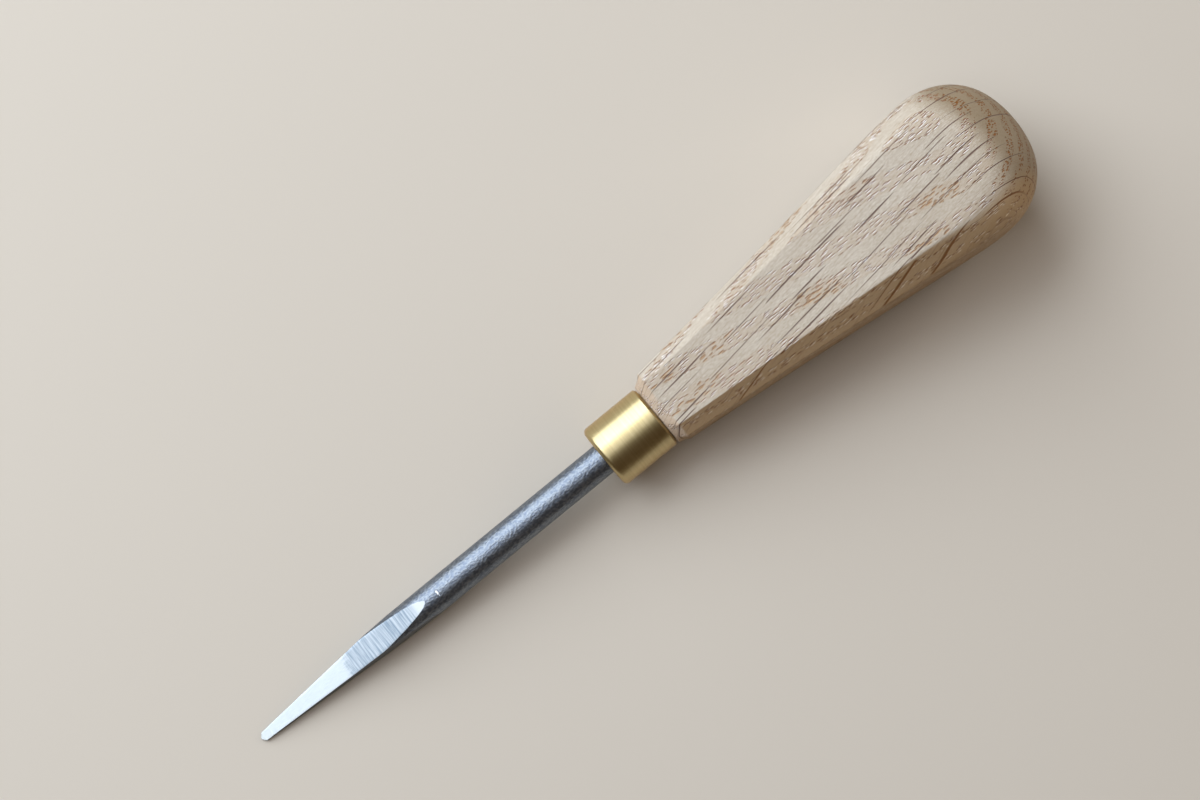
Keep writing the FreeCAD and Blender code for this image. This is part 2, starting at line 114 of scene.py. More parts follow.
# Oak: its own axes, and sizes in millimetres
GRAIN = Vector((1.0, 0.0694, -0.007)).normalized()
ACROSS_RAYS = Vector((-0.067, 0.927, -0.375)).normalized()
ACROSS_RINGS = GRAIN.cross(ACROSS_RAYS)
RING_SPACING = 2.3
PORE_LENGTH = 1.9
PORE_WIDTH = 0.34

# Places along the tool where a change of the material, or a painted highlight, starts and where it
# is complete
HONING = (22.7, 20.9)
# Where the painted highlight at the end of the ground faces starts and where it is complete
PAINTED_HIGHLIGHT_STRETCH = (35.5, 37.5)
BUTT_FADE = (152.0, 162.0)

# The one bright nick in the bar's skin
NICK = (41.9, 0.1, 3.0)

# Camera: its place in metres and its angles in degrees
CAMERA_PLACE = (-0.03997, -0.03719, 0.45948)
CAMERA_AZIMUTH = -40.0
CAMERA_ELEVATION = 82.5
CAMERA_LEAN = 0.95


# ---------------------------------------------------------------- placing

def tool_axis(record):
    """The frame of the tool: the matrix from its millimetres to the model's metres."""
    mounts = {mount["name"]: mount for mount in record["mounts"]}
    along = -Vector(mounts["ferrule"]["axis"]).normalized()
    face = Vector(mounts["ferrule_face"]["pos_m"])
    face.y = mounts["ferrule"]["pos_m"][1]
    across = Vector((0, 1, 0))
    above = along.cross(across)
    tip = face - along * FERRULE_FRONT * MM
    turned = Matrix((along, across, above)).transposed().to_4x4()
    return Matrix.Translation(tip) @ turned @ Matrix.Scale(MM, 4)


def even_angles(count):
    return [TURN * i / count for i in range(count)]


def circle(x, radius, angles):
    return [(x, radius * math.cos(a), radius * math.sin(a)) for a in angles]


def skin(name, rings, closed=False):
    """A closed mesh through rings of equal length, given in millimetres.

    The ends are filled with a fan, or joined to each other when closed is True.
    """
    count = len(rings[0])
    points = [tuple(point) for ring in rings for point in ring]
    faces = []
    spans = len(rings) if closed else len(rings) - 1
    for i in range(spans):
        here, there = i * count, (i + 1) % len(rings) * count
        for j in range(count):
            k = (j + 1) % count
            faces.append((here + j, here + k, there + k, there + j))
    if not closed:
        for start, order in ((0, -1), ((len(rings) - 1) * count, 1)):
            ring = points[start:start + count]
            middle = tuple(sum(p[a] for p in ring) / count for a in range(3))
            points.append(middle)
            hub = len(points) - 1
            for j in range(count):
                pair = (start + j, start + (j + 1) % count)[::order]
                faces.append((hub, *pair))
    mesh = bpy.data.meshes.new(name)
    mesh.from_pydata(points, [], faces)
    mesh.validate()
    piece = bpy.data.objects.new(name, mesh)
    bpy.context.scene.collection.objects.link(piece)
    return piece


def settle(piece, place, node, slot, *materials):
    """Lay a piece on the tool's axis, in place of its CAD node."""
    same_point = 1e-4
    mesh = piece.data
    work = bmesh.new()
    work.from_mesh(mesh)
    bmesh.ops.remove_doubles(work, verts=work.verts, dist=same_point)
    bmesh.ops.dissolve_degenerate(work, edges=work.edges, dist=same_point)
    bmesh.ops.recalc_face_normals(work, faces=work.faces)
    work.to_mesh(mesh)
    work.free()
    mesh.transform(place)
    mesh.shade_smooth()
    for material in materials:
        mesh.materials.append(material)
    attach(piece, "root")
    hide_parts(node)


# ---------------------------------------------------------------- handle

def meeting(a, ra, b, rb):
    """The upper point at distance ra from a and rb from b."""
    dx, dy = b[0] - a[0], b[1] - a[1]
    span = math.hypot(dx, dy)
    reach = (ra * ra - rb * rb + span * span) / (2 * span)
    rise = math.sqrt(ra * ra - reach * reach)
    ux, uy = dx / span, dy / span
    spots = [(a[0] + ux * reach - s * uy * rise, a[1] + uy * reach + s * ux * rise)
             for s in (1, -1)]
    return max(spots, key=lambda spot: spot[1])


class Flat:
    """The line of one of the handle's flats: hollow flare, swell, corner and butt."""

    def __init__(self, share):
        self.low = FRONT_ACROSS * share
        self.high = WIDEST_ACROSS * share
        self.butt = BUTT_POLE - BUTT_RADIUS
        run = math.sqrt((BUTT_RADIUS - CORNER_RADIUS) ** 2 - (self.high - CORNER_RADIUS) ** 2)
        self.widest = self.butt + run
        swell = (self.widest, self.high - SWELL_RADIUS)
        toe = (FLATS_FRONT, self.low)
        self.flare = meeting(toe, FLARE_RADIUS, swell, FLARE_RADIUS + SWELL_RADIUS)
        away = math.hypot(self.flare[0] - swell[0], self.flare[1] - swell[1])
        self.brow = swell[0] + (self.flare[0] - swell[0]) / away * SWELL_RADIUS
        lean = math.atan2(self.high - CORNER_RADIUS, run)
        self.meet = self.butt + BUTT_RADIUS * math.cos(lean)

    def at(self, x):
        """The flat's distance from the grip's axis at x."""
        if x < self.brow:
            return self.flare[1] - math.sqrt(FLARE_RADIUS ** 2 - (x - self.flare[0]) ** 2)
        if x < self.widest:
            return self.high - SWELL_RADIUS + math.sqrt(SWELL_RADIUS ** 2 - (x - self.widest) ** 2)
        if x < self.meet:
            rise = math.sqrt(CORNER_RADIUS ** 2 - (x - self.widest) ** 2)
            return self.high - CORNER_RADIUS + rise
        return math.sqrt(BUTT_RADIUS ** 2 - (x - self.butt) ** 2)


def soft_min(a, b, width):
    """The lower of a and b, with the corner between them rounded over a width."""
    overlap = max(width - abs(a - b), 0.0) / width
    return min(a, b) - overlap * overlap * width / 4


def smooth(low, high, x):
    t = min(max((x - low) / (high - low), 0.0), 1.0)
    return t * t * (3 - 2 * t)


def ridge_angles():
    """Angles round the grip, close together at the eight ridges."""
    ridge = math.atan(FLAT_SHARE)
    edges = [k * TURN / 4 + side * ridge for k in range(4) for side in (-1, 1)]
    edges = sorted(angle % TURN for angle in edges)
    near = [math.radians(d) for d in (0.35, 0.75, 1.2, 1.8, 2.6)]
    wide_step = math.radians(2.2)
    angles = []
    for here, there in zip(edges, edges[1:] + [edges[0] + TURN]):
        start, end = here + near[-1], there - near[-1]
        steps = max(round((end - start) / wide_step), 2)
        angles.append(here)
        angles += [here + d for d in near]
        angles += [start + (end - start) * i / steps for i in range(1, steps)]
        angles += [there - d for d in reversed(near)]
    return angles


def section(main, slant, x, angles):
    """Distances from the grip's axis round one section of the handle.

    The eight flats, and round the butt the ball that eases their ridges, are blended with a
    power: a high one leaves ridges, a low one rounds them off.
    """
    fade = smooth(*SOFTENED, x)
    power = SOFT_POWER * (RIDGE_POWER / SOFT_POWER) ** (1 - fade)
    flats = [(k * TURN / 8, main.at(x) if k % 2 == 0 else slant.at(x)) for k in range(8)]
    past_middle = max(x - (EASING_POLE - EASING_RADIUS), 0.0)
    ball = math.sqrt(EASING_RADIUS ** 2 - past_middle ** 2)

    def reach(angle):
        limit = 0.0
        for turn, away in flats:
            near = math.cos(angle - turn)
            if near > 0.2:
                limit += (main.at(x) * near / away) ** power
        limit += (main.at(x) / ball) ** power * fade
        return main.at(x) * limit ** (-1 / power)

    scale = main.at(x) / reach(0.0)
    return [reach(angle) * scale for angle in angles]


def stations():
    """Places along the handle's outside, close together where it turns."""
    places = [SHOULDER + 0.12 * i for i in range(1, 22)]
    x = places[-1]
    for end, step in ((150.0, 0.9), (166.0, 0.4)):
        while x < end:
            x += step
            places.append(x)
    middle, count = BUTT_POLE - BUTT_RADIUS, 34
    start = math.acos((x - middle) / BUTT_RADIUS)
    end = math.acos((OVERALL - middle) / BUTT_RADIUS)
    turns = [start + (end - start) * i / count for i in range(1, count + 1)]
    return places + [middle + BUTT_RADIUS * math.cos(turn) for turn in turns]


def make_handle(place, oak):
    """The octagonal grip with its shoulder, tenon and bore."""
    angles = ridge_angles()
    main, slant = Flat(0.5), Flat((1 + FLAT_SHARE) / (2 * math.sqrt(2)))
    inside = ((BORE_END + POINT_DEPTH, AXIS_RADIUS), (BORE_END, TANG_BORE),
              (TENON_FRONT, TANG_BORE), (TENON_FRONT, TENON_RADIUS - TENON_CHAMFER),
              (TENON_FRONT + TENON_CHAMFER, TENON_RADIUS), (SHOULDER, TENON_RADIUS),
              (SHOULDER, FERRULE_RADIUS - SHOULDER_ROUND),
              (SHOULDER + 0.04, FERRULE_RADIUS - 0.1))
    rings = [circle(x, r, angles) for x, r in inside]
    front = section(main, slant, FLATS_FRONT, angles)
    for x in stations():
        # Straight lines from the ferrule's round to the front of the flats make the shoulder.
        # They run on until they clear the grip, and the lower of the two is the surface.
        t = (x - SHOULDER) / (FLATS_FRONT - SHOULDER)
        shift = GRIP_OFFSET * min(t, 1.0)
        reaches = section(main, slant, x, angles)
        if t < 3:
            reaches = [soft_min(FERRULE_RADIUS + (f - FERRULE_RADIUS) * t, r, SHOULDER_BLEND)
                       for f, r in zip(front, reaches)]
        rings.append([(x, shift + r * math.cos(a), r * math.sin(a))
                      for r, a in zip(reaches, angles)])
    settle(skin("handle_grip", rings), place, "handle", "handle_oak", oak)


# ---------------------------------------------------------------- ferrule

def fillet(corner, before, after, radius, steps):
    """Points that round one corner of a profile."""
    c, a, b = Vector(corner), Vector(before), Vector(after)
    u, v = (a - c).normalized(), (b - c).normalized()
    half = u.angle(v) / 2
    trim = radius / math.tan(half)
    hub = c + (u + v).normalized() * (radius / math.sin(half))
    first = c + u * trim - hub
    painted_highlight_end = c + v * trim - hub
    sweep = first.angle(painted_highlight_end)
    points = []
    for i in range(steps + 1):
        t = i / steps
        way = first * math.sin((1 - t) * sweep) + painted_highlight_end * math.sin(t * sweep)
        points.append(tuple(hub + way / math.sin(sweep)))
    return points


def make_ferrule(place, brass):
    """The turned cup, with a rounded front edge and a chamfer at the back."""
    back, out = FERRULE_BACK, FERRULE_RADIUS
    corners = (
        ((FERRULE_FRONT, FERRULE_HOLE), 0.08), ((FERRULE_FRONT, out), FRONT_ROUND),
        ((back - BACK_CHAMFER, out), 0.12), ((back, out - BACK_CHAMFER), 0.12),
        ((back, FERRULE_BORE), 0.08), ((FERRULE_FRONT + FERRULE_WALL, FERRULE_BORE), 0.1),
        ((FERRULE_FRONT + FERRULE_WALL, FERRULE_HOLE), 0.05),
    )
    profile = []
    for i, (corner, radius) in enumerate(corners):
        before = corners[i - 1][0]
        after = corners[(i + 1) % len(corners)][0]
        steps = 12 if radius == FRONT_ROUND else 4
        profile += fillet(corner, before, after, radius, steps)
    # The long walls get more rings, so that no face there is a long sliver
    long_run, parts = 5.0, 24
    finer = []
    for here, there in zip(profile, profile[1:] + profile[:1]):
        finer.append(here)
        run = there[0] - here[0]
        if run > long_run:
            finer += [(here[0] + run * i / parts, here[1]) for i in range(1, parts)]
    angles = even_angles(256)
    piece = skin("ferrule_cup", [circle(x, r, angles) for x, r in finer], closed=True)
    settle(piece, place, "ferrule", "ferrule_brass", brass)


# ---------------------------------------------------------------- blade and adhesive

def side(x, runout):
    """The distance of one ground side from the blade's middle at x."""
    line = TIP_WIDTH / 2 + (BAR_RADIUS - TIP_WIDTH / 2) * max(x, NOSE_LENGTH) / runout
    if x < NOSE_LENGTH:
        line = NOSE_END / 2 + (line - NOSE_END / 2) * x / NOSE_LENGTH
    return min(line, BAR_RADIUS)


def half_thickness(x):
    """Half the blade's thickness between its ground faces at x."""
    for (x0, t0), (x1, t1) in zip(FACE_THICKNESS, FACE_THICKNESS[1:]):
        if x <= x1:
            return (t0 + (t1 - t0) * (x - x0) / (x1 - x0)) / 2
    return BAR_RADIUS


def quarter(wide, thick, radius):
    """One quarter of the blade's section, from its side round to its face.

    wide and thick are the side's and the face's distances from the middle. The bar's round shows
    between them where it is left, and each edge is broken by a small radius.
    """
    edge = min(BROKEN_EDGE, wide * 0.4, thick * 0.4)
    y, z, r = wide - edge, thick - edge, radius - edge
    side_top = min(math.sqrt(max(r * r - y * y, 0.0)), z)
    face_end = min(math.sqrt(max(r * r - z * z, 0.0)), y)
    low = math.atan2(side_top, y)
    high = math.atan2(z, face_end)
    on_bar = high - low > 1e-6
    points = [(wide, side_top * i / 4) for i in range(4)]
    for i in range(5):
        turn = low * i / 4
        points.append((y + edge * math.cos(turn), side_top + edge * math.sin(turn)))
    for i in range(1, 16):
        turn = low + (high - low) * i / 16
        spot = (r * math.cos(turn), r * math.sin(turn)) if on_bar else (y, z)
        points.append((spot[0] + edge * math.cos(turn), spot[1] + edge * math.sin(turn)))
    for i in range(5):
        turn = high + (TURN / 4 - high) * i / 4
        points.append((face_end + edge * math.cos(turn), z + edge * math.sin(turn)))
    points += [(face_end * (1 - i / 6), thick) for i in range(1, 6)]
    return points


def blade_section(x, wides, thick, radius):
    """One ring of the blade, turned by its roll about the bar's axis."""
    near, far = (quarter(wide, thick, radius) for wide in wides)
    ring = [*near, (0.0, thick)]
    ring += [(-y, z) for y, z in reversed(far)]
    ring += [(-y, -z) for y, z in far[1:]]
    ring.append((0.0, -thick))
    ring += [(y, -z) for y, z in reversed(near)][:-1]
    c, s = math.cos(BLADE_ROLL), math.sin(BLADE_ROLL)
    return [(x, y * c - z * s, y * s + z * c) for y, z in ring]


def blade_stations():
    """Places along the blade: close together at the nose and where its planes meet.

    Each stop is a place, with the number of steps that lead up to it.
    """
    stops = ((0.0, 0), (NOSE_LENGTH - 0.03, 8), (NOSE_LENGTH, 2), (BEVEL_END - 0.05, 8),
             (BEVEL_END + 0.05, 4), (HONED_END - 0.1, 30), (HONED_END + 0.1, 4),
             (FACES_END - 2.7, 60), (FACES_END + 0.1, 40), (FERRULE_FRONT - 0.5, 60),
             (TANG_END - TANG_CHAMFER, 24))
    places = [0.0]
    for (start, _), (end, count) in zip(stops, stops[1:]):
        places += [start + (end - start) * i / count for i in range(1, count + 1)]
    return places


def make_blade(place, ground, mill_scale):
    """The round bar, ground to a flat tapering nose. Its round keeps the mill scale."""
    rings = []
    for x in blade_stations():
        wides = [side(x, runout) for runout in SIDE_RUNOUTS]
        rings.append(blade_section(x, wides, half_thickness(x), BAR_RADIUS))
    end = BAR_RADIUS - TANG_CHAMFER
    rings.append(blade_section(TANG_END, (end, end), end, end))
    piece = skin("blade_bar", rings)
    on_round = BAR_RADIUS - 0.012
    for face in piece.data.polygons:
        hub = face.center
        if math.hypot(hub.y, hub.z) > on_round or hub.x > FACES_END:
            face.material_index = 1
    settle(piece, place, "blade", "blade_steel", ground, mill_scale)


def make_sleeve(place, adhesive):
    """The cured adhesive between the tang and its bore, with its conical end."""
    angles = even_angles(96)
    profile = ((TANG_END, AXIS_RADIUS), (TANG_END, BAR_RADIUS - TANG_CHAMFER),
               (TANG_END - TANG_CHAMFER, BAR_RADIUS), (TENON_FRONT, BAR_RADIUS),
               (TENON_FRONT, TANG_BORE), (BORE_END, TANG_BORE),
               (BORE_END + POINT_DEPTH, AXIS_RADIUS))
    piece = skin("tang_sleeve", [circle(x, r, angles) for x, r in profile])
    settle(piece, place, "tang_adhesive", "adhesive", adhesive)


# ---------------------------------------------------------------- materials

class Graph:
    """Short names for building the nodes of one material."""

    def __init__(self, name, tool=Matrix.Identity(4)):
        self.tool = tool
        self.material = bpy.data.materials.new(name)
        self.material.use_nodes = True
        self.tree = self.material.node_tree
        self.tree.nodes.clear()
        self.shader = self.tree.nodes.new("ShaderNodeBsdfPrincipled")
        sink = self.tree.nodes.new("ShaderNodeOutputMaterial")
        self.tree.links.new(self.shader.outputs[0], sink.inputs[0])

    def feed(self, socket, value):
        if isinstance(value, bpy.types.NodeSocket):
            self.tree.links.new(value, socket)
        elif isinstance(value, (tuple, list)) and len(value) == 3 and socket.type == "RGBA":
            socket.default_value = (*value, 1.0)
        else:
            socket.default_value = value

    def node(self, kind, inputs=(), **settings):
        made = self.tree.nodes.new(kind)
        for key, value in settings.items():
            setattr(made, key, value)
        for socket, value in dict(inputs).items():
            self.feed(made.inputs[socket], value)
        return made

    def place(self):
        """The point in the tool's frame, in millimetres.

        The frame's columns are MM long, so a dot product with them is divided by MM twice.
        """
        where = self.node("ShaderNodeTexCoord").outputs["Object"]
        where = self.vector("SUBTRACT", where, tuple(self.tool.translation))
        axes = [tuple(self.tool.col[i].xyz / MM ** 2) for i in range(3)]
        return self.join(*(self.vector("DOT_PRODUCT", where, axis) for axis in axes))

    def turned_to(self, direction):
        """How squarely the surface faces a direction of the tool's frame, from -1 to 1."""
        outward = self.node("ShaderNodeTexCoord").outputs["Normal"]
        direction = tuple((self.tool.to_3x3() @ direction).normalized())
        return self.vector("DOT_PRODUCT", outward, direction)

    def math(self, operation, *values):
        return self.node("ShaderNodeMath", enumerate(values), operation=operation).outputs[0]

    def vector(self, operation, *values):
        made = self.node("ShaderNodeVectorMath", enumerate(values), operation=operation)
        return made.outputs["Value" if operation in ("DOT_PRODUCT", "LENGTH") else 0]

    def split(self, value):
        return self.node("ShaderNodeSeparateXYZ", {0: value}).outputs

    def join(self, x, y, z=0.0):
        return self.node("ShaderNodeCombineXYZ", {0: x, 1: y, 2: z}).outputs[0]

    def step(self, start, end, value):
        """A smooth climb from 0 at start to 1 at end, whichever of them is the greater."""
        made = self.node("ShaderNodeMapRange", {"Value": value, "From Min": start, "From Max": end},
                         interpolation_type="SMOOTHSTEP")
        return made.outputs[0]

    def noise(self, where, stretch, detail=2.0, rough=0.5, output="Fac"):
        """Noise in 0 to 1 whose features are stretch millimetres long."""
        scaled = self.vector("MULTIPLY", where, tuple(1 / s for s in stretch))
        made = self.node("ShaderNodeTexNoise", {"Vector": scaled, "Scale": 1.0, "Detail": detail,
                                                "Roughness": rough})
        return made.outputs[output]

    def sway(self, where, stretch, amount):
        """A smooth random offset: amount is its full swing along each axis."""
        swing = self.noise(where, stretch, output="Color")
        swing = self.vector("SUBTRACT", swing, (0.5, 0.5, 0.5))
        return self.vector("MULTIPLY", swing, amount)

    def cells(self, where, dimensions):
        """Voronoi cells: how far and which way their points lie, and a random colour for each."""
        return self.node("ShaderNodeTexVoronoi", {"Vector": where, "Scale": 1.0},
                         voronoi_dimensions=dimensions).outputs

    def mix(self, share, first, second):
        """Two colours, mixed: sockets 6 and 7 and output 2 are the node's colour ones."""
        made = self.node("ShaderNodeMix", {0: share, 6: first, 7: second}, data_type="RGBA")
        return made.outputs[2]

    def bump(self, height, depth, normal=None):
        """A normal from a height in 0 to 1 that stands for depth millimetres."""
        inputs = {"Height": height, "Distance": depth * MM, "Strength": 1.0}
        made = self.node("ShaderNodeBump", inputs)
        if normal is not None:
            self.feed(made.inputs["Normal"], normal)
        return made.outputs[0]

    def finish(self, **sockets):
        for name, value in sockets.items():
            self.feed(self.shader.inputs[name.replace("_", " ")], value)
        return self.material


def early_wood(g, wood, radial):
    """1 in the porous first part of each ring, with a ragged edge."""
    ring = g.math("FRACT", g.math("MULTIPLY_ADD", radial, 1 / RING_SPACING, 0.35))
    ragged = g.math("MULTIPLY_ADD", g.noise(wood, (9, 1.2, 1.2)), 0.3, -0.15)
    return g.step(0.56, 0.50, g.math("ADD", ring, ragged))


def pores(g, along, tangent, radial):
    """Spindle-shaped pores along the grain: where they lie, and which side of each takes painted
    shade.
    """
    sag = g.math("MULTIPLY", along, 0.06)
    where = g.join(g.math("DIVIDE", along, PORE_LENGTH),
                   g.math("DIVIDE", g.math("ADD", tangent, sag), PORE_WIDTH),
                   g.math("DIVIDE", radial, PORE_WIDTH))
    cell = g.cells(where, "3D")
    chance, girth, _ = g.split(cell["Color"])
    size = g.math("MULTIPLY_ADD", girth, 0.1, 0.37)
    inside = g.step(0.02, -0.05, g.math("SUBTRACT", cell["Distance"], size))
    inside = g.math("MULTIPLY", inside, g.step(0.04, 0.06, chance))
    _, off_tangent, off_radial = g.split(g.vector("SUBTRACT", where, cell["Position"]))
    # The side of each pore that gets painted shade; the rest of it gets painted light
    pore_painted_shade = g.step(-0.11, -0.04, g.math("MULTIPLY_ADD", off_radial, 0.4, off_tangent))
    return inside, pore_painted_shade


def rays(g, along, tangent, length, apart, half):
    """Lens-shaped lines, one to a cell, of the given length and spacing in millimetres."""
    where = g.join(g.math("DIVIDE", along, length), g.math("DIVIDE", tangent, apart))
    cell = g.cells(where, "2D")
    off_along, off_across, _ = g.split(g.vector("SUBTRACT", where, cell["Position"]))
    longer, wider, _ = g.split(cell["Color"])
    reach = g.math("MULTIPLY_ADD", longer, 0.4, 0.3)
    taper = g.math("SUBTRACT", 1.0, g.math("POWER", g.math("DIVIDE", off_along, reach), 2.0))
    width = g.math("MULTIPLY", g.math("MULTIPLY_ADD", wider, half, half * 0.6), taper)
    off = g.math("MULTIPLY", g.math("ABSOLUTE", off_across), apart)
    return g.step(-0.3 * half, 0.3 * half, g.math("SUBTRACT", width, off))


def bare_oak(g, wood, fibre, early, end, towards):
    """The wood's colour before its pores and rays: pale, with darker layers over it.

    The last three depend on where the surface faces: the butt, the front and one long side. The
    layer on the long side that faces away from the window is painted shade.
    """
    cloud = g.noise(wood, (26, 5, 5))
    tone = g.math("MULTIPLY_ADD", g.math("SUBTRACT", fibre, 0.5), 0.9, cloud)
    fleck = g.noise(wood, (0.8, 0.13, 0.13), rough=0.7)
    butt = g.step(0.12, 0.5, end)
    front = g.step(-0.2, -0.6, end)
    # Painted shade: the long side facing away from the window gets a darker, warmer colour
    away_side_painted_shade = g.step(0.65, 0.95, towards)
    layers = ((g.step(0.25, 0.8, tone), (0.55, 0.475, 0.38)),
              (g.step(0.3, 0.75, fleck), (0.43, 0.345, 0.25)),
              (g.math("MULTIPLY", early, 0.25), (0.48, 0.34, 0.22)),
              (g.math("MULTIPLY", butt, 0.85), (0.235, 0.17, 0.095)),
              (g.math("MULTIPLY", front, 0.5), (0.66, 0.46, 0.30)),
              (g.math("MULTIPLY", away_side_painted_shade, 0.8), (0.46, 0.285, 0.125)))
    colour = (0.66, 0.595, 0.50)
    for share, over in layers:
        colour = g.mix(share, colour, over)
    return colour


def make_oak(tool):
    """Pale oak: rings, pores that run with the grain, and dark rays across the rings."""
    g = Graph("oak", tool)
    spot = g.place()
    axes = (GRAIN, ACROSS_RAYS, ACROSS_RINGS)
    straight = g.join(*(g.vector("DOT_PRODUCT", spot, tuple(axis)) for axis in axes))
    bent = g.vector("ADD", straight, g.sway(straight, (55, 14, 14), (0.0, 1.6, 1.8)))
    wood = g.vector("ADD", bent, g.sway(straight, (5, 2.5, 2.5), (0.0, 0.14, 0.14)))
    along, tangent, radial = g.split(wood)
    early = early_wood(g, wood, radial)
    pore, pore_painted_shade = pores(g, along, tangent, radial)
    pore = g.math("MULTIPLY", pore, early)
    _, sheet_tangent, _ = g.split(bent)
    big = rays(g, along, sheet_tangent, length=16.0, apart=2.4, half=0.085)
    small = rays(g, along, sheet_tangent, length=6.0, apart=0.7, half=0.03)

    end = g.turned_to(GRAIN)
    towards = g.turned_to(-ACROSS_RAYS)
    squarely = g.math("ABSOLUTE", towards)
    broad = g.step(0.65, 0.95, squarely)
    fibre = g.noise(wood, (11, 0.16, 0.16), 3.0, 0.6)
    colour = bare_oak(g, wood, fibre, early, end, towards)

    # A pore gets painted light on one wall and painted shade on the other, and its lit wall is
    # stained brown here and there
    stain = g.step(0.55, 0.66, g.noise(wood, (16, 5, 5), 1.0))
    stained_painted_light_wall = g.mix(stain, (1.0, 0.97, 0.93), (0.66, 0.47, 0.29))
    stained_painted_light_wall = g.mix(broad, stained_painted_light_wall, (0.80, 0.66, 0.46))
    pore_with_painted_light_and_shade = g.mix(pore_painted_shade, stained_painted_light_wall, (0.25, 0.115, 0.045))
    pore_with_painted_light_and_shade = g.mix(g.step(0.12, 0.5, end), pore_with_painted_light_and_shade, (0.22, 0.082, 0.016))
    colour = g.mix(pore, colour, pore_with_painted_light_and_shade)

    # Rays fade out where the surface lies along them, and sooner round the butt
    level = g.math("MULTIPLY_ADD", g.step(*BUTT_FADE, along), 0.06, squarely)
    big = g.math("MULTIPLY", big, g.step(0.98, 0.92, level))
    sheen = g.mix(broad, (0.13, 0.075, 0.055), (0.22, 0.09, 0.02))
    colour = g.mix(g.math("MULTIPLY", small, 0.45), colour, (0.27, 0.16, 0.09))
    colour = g.mix(g.math("MULTIPLY", big, 0.95), colour, sheen)

    normal = g.bump(g.math("SUBTRACT", 1.0, pore), 0.08)
    normal = g.bump(fibre, 0.035, normal)
    normal = g.bump(g.math("SUBTRACT", 1.0, big), 0.04, normal)
    rough = g.math("MULTIPLY_ADD", fibre, 0.2, 0.5)
    return g.finish(Base_Color=colour, Roughness=rough, Normal=normal, Specular_IOR_Level=0.35)


def make_brass(tool):
    """Turned brass with fine lines round it."""
    g = Graph("brass", tool)
    spot = g.place()
    lines = g.noise(spot, (0.045, 40, 40), rough=0.6)
    bands = g.noise(spot, (0.5, 60, 60))
    scuff = g.noise(spot, (0.12, 2.5, 2.5))
    tone = g.math("MULTIPLY_ADD", lines, 0.5, g.math("MULTIPLY", bands, 0.5))
    colour = g.mix(g.step(0.3, 0.7, tone), (0.45, 0.352, 0.155), (0.55, 0.445, 0.225))
    normal = g.bump(lines, 0.0035)
    normal = g.bump(scuff, 0.004, normal)
    rough = g.math("MULTIPLY_ADD", scuff, 0.12, 0.3)
    return g.finish(Base_Color=colour, Metallic=1.0, Roughness=rough, Normal=normal,
                    Coat_Weight=1.0, Coat_Roughness=0.25, Specular_Tint=(1.0, 0.7, 0.35))


def make_ground_steel(tool):
    """Ground steel: honed along the blade at the nose, crossed by grinding behind it."""
    g = Graph("ground_steel", tool)
    spot = g.place()
    x, y, _ = g.split(spot)
    ragged = g.noise(spot, (3, 0.5, 0.5))
    back = g.math("MULTIPLY_ADD", ragged, 2.4, g.math("MULTIPLY_ADD", y, -0.25, x))
    honed = g.step(*HONING, back)
    hone = g.noise(spot, (9, 0.05, 0.05), rough=0.6)
    grind = g.noise(spot, (0.35, 7, 7), 3.0, 0.65)
    ground = g.mix(g.step(0.3, 0.7, grind), (0.12, 0.152, 0.182), (0.275, 0.30, 0.318))
    shine = g.mix(g.step(0.3, 0.7, hone), (0.285, 0.31, 0.32), (0.335, 0.36, 0.37))
    colour = g.mix(honed, ground, shine)

    # The edge bevel is brighter, the faces' last stretch carries a painted highlight, and the
    # ground sides painted shade
    bevel = g.step(BEVEL_END + 0.1, BEVEL_END - 0.1, x)
    # Painted highlight on the last stretch of the ground faces, where they run out
    painted_highlight_end = g.step(*PAINTED_HIGHLIGHT_STRETCH, x)
    # Painted shade: the ground sides, facing across the blade, are darkened
    flank_painted_shade = g.step(0.5, 0.8, g.math("ABSOLUTE", g.turned_to(Vector((0, 1, 0)))))
    for share, over in ((bevel, (0.36, 0.385, 0.385)), (painted_highlight_end, (0.33, 0.35, 0.36)),
                        (flank_painted_shade, (0.085, 0.10, 0.115))):
        colour = g.mix(share, colour, over)
    normal = g.bump(g.mix(honed, grind, hone), 0.004)
    rough = g.math("MULTIPLY_ADD", grind, 0.15, 0.25)
    return g.finish(Base_Color=colour, Metallic=1.0, Roughness=rough, Normal=normal)


def make_mill_scale(tool):
    """The dark skin of the rolled bar, finely pitted."""
    g = Graph("mill_scale", tool)
    spot = g.place()
    pits = g.noise(spot, (0.55, 0.42, 0.42), 1.0)
    cloud = g.noise(spot, (3.5, 1.5, 1.5))
    tone = g.math("MULTIPLY_ADD", g.math("SUBTRACT", cloud, 0.5), 0.3, pits)
    colour = g.mix(g.step(0.3, 0.7, tone), (0.13, 0.152, 0.19), (0.232, 0.255, 0.282))
    away = g.vector("MULTIPLY", g.vector("SUBTRACT", spot, NICK), (3.6, 1.3, 1.3))
    nick = g.step(1.0, 0.6, g.vector("LENGTH", away))
    colour = g.mix(nick, colour, (0.60, 0.63, 0.66))
    normal = g.bump(g.math("SUBTRACT", pits, nick), 0.09)
    rough = g.math("MULTIPLY_ADD", pits, 0.2, 0.3)
    return g.finish(Base_Color=colour, Metallic=0.9, Roughness=rough, Normal=normal)


def make_adhesive(tool):
    """Cured amber adhesive round the tang, out of sight."""
    g = Graph("cured_adhesive", tool)
    cloud = g.noise(g.place(), (2, 2, 2))
    colour = g.mix(cloud, (0.50, 0.33, 0.09), (0.62, 0.44, 0.15))
    return g.finish(Base_Color=colour, Roughness=0.3, Normal=g.bump(cloud, 0.05))


# ---------------------------------------------------------------- studio

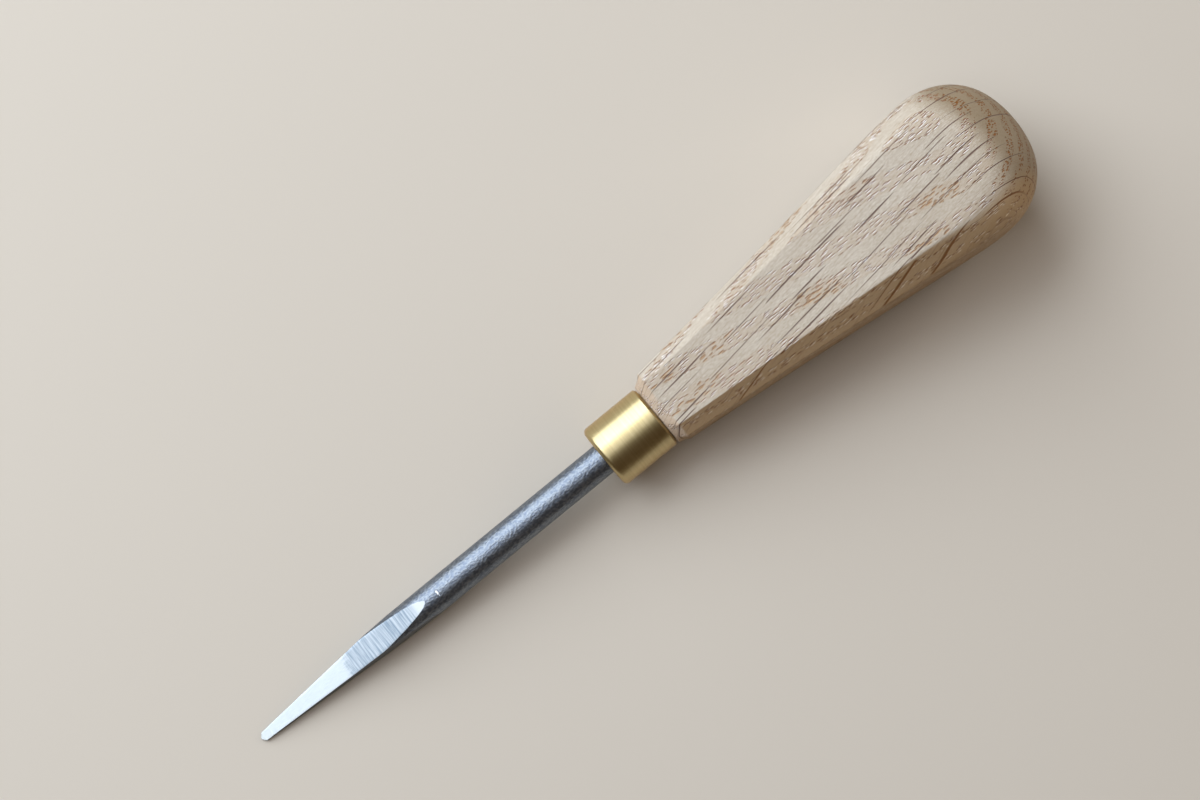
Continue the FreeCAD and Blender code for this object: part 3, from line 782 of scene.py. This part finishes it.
def make_floor():
    """A plain pale floor, a hair below the tool."""
    half, low = 3.0, -0.00002
    mesh = bpy.data.meshes.new("floor")
    corners = [(-half, -half, low), (half, -half, low), (half, half, low), (-half, half, low)]
    mesh.from_pydata(corners, [], [(0, 1, 2, 3)])
    floor = bpy.data.objects.new("floor", mesh)
    bpy.context.scene.collection.objects.link(floor)
    paper = Graph("floor_paper").finish(Base_Color=(0.60, 0.54, 0.46), Roughness=0.9)
    mesh.materials.append(paper)


def make_panel(name, towards, distance, width, height, power, colour):
    """A soft rectangular light that faces the tool."""
    data = bpy.data.lights.new(name, "AREA")
    data.shape = "RECTANGLE"
    data.size, data.size_y = width, height
    data.energy = power
    data.color = colour
    light = bpy.data.objects.new(name, data)
    bpy.context.scene.collection.objects.link(light)
    way = Vector(towards).normalized()
    light.location = way * distance
    light.rotation_mode = "QUATERNION"
    light.rotation_quaternion = way.to_track_quat("Z", "Y")


def make_studio():
    """A dim warm world, a window beside the tool, and softer panels at its end and above."""
    world = bpy.data.worlds.new("studio")
    bpy.context.scene.world = world
    world.use_nodes = True
    background = world.node_tree.nodes["Background"]
    background.inputs["Color"].default_value = (1.0, 0.62, 0.32, 1.0)
    background.inputs["Strength"].default_value = 0.08
    make_panel("window", (-0.22, 0.75, 0.65), 0.9, 1.0, 0.85, 10.8, (0.87, 0.96, 1.06))
    make_panel("end", (0.93, -0.12, 0.35), 0.9, 0.5, 0.5, 2.5, (1.0, 0.95, 0.88))
    make_panel("sky", (-0.3, 0.26, 0.95), 1.0, 0.85, 0.85, 4.2, (0.90, 0.96, 1.06))


def make_camera():
    """The camera, nearly straight above the tool."""
    data = bpy.data.cameras.new("camera")
    data.lens = 75.0
    data.sensor_width = 36.0
    camera = bpy.data.objects.new("camera", data)
    bpy.context.scene.collection.objects.link(camera)
    azimuth, elevation = math.radians(CAMERA_AZIMUTH), math.radians(CAMERA_ELEVATION)
    back = Vector((math.sin(azimuth) * math.cos(elevation),
                   -math.cos(azimuth) * math.cos(elevation), math.sin(elevation)))
    camera.location = CAMERA_PLACE
    camera.rotation_mode = "QUATERNION"
    lean = Quaternion((0, 0, 1), math.radians(CAMERA_LEAN))
    camera.rotation_quaternion = (-back).to_track_quat("-Z", "Y") @ lean
    bpy.context.scene.camera = camera


def main():
    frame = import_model()
    place = tool_axis(frame["record"])
    make_floor()
    make_studio()
    make_camera()
    make_handle(place, make_oak(place))
    make_ferrule(place, make_brass(place))
    make_blade(place, make_ground_steel(place), make_mill_scale(place))
    make_sleeve(place, make_adhesive(place))
    bpy.context.scene.view_settings.view_transform = "Standard"
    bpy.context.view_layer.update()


main()
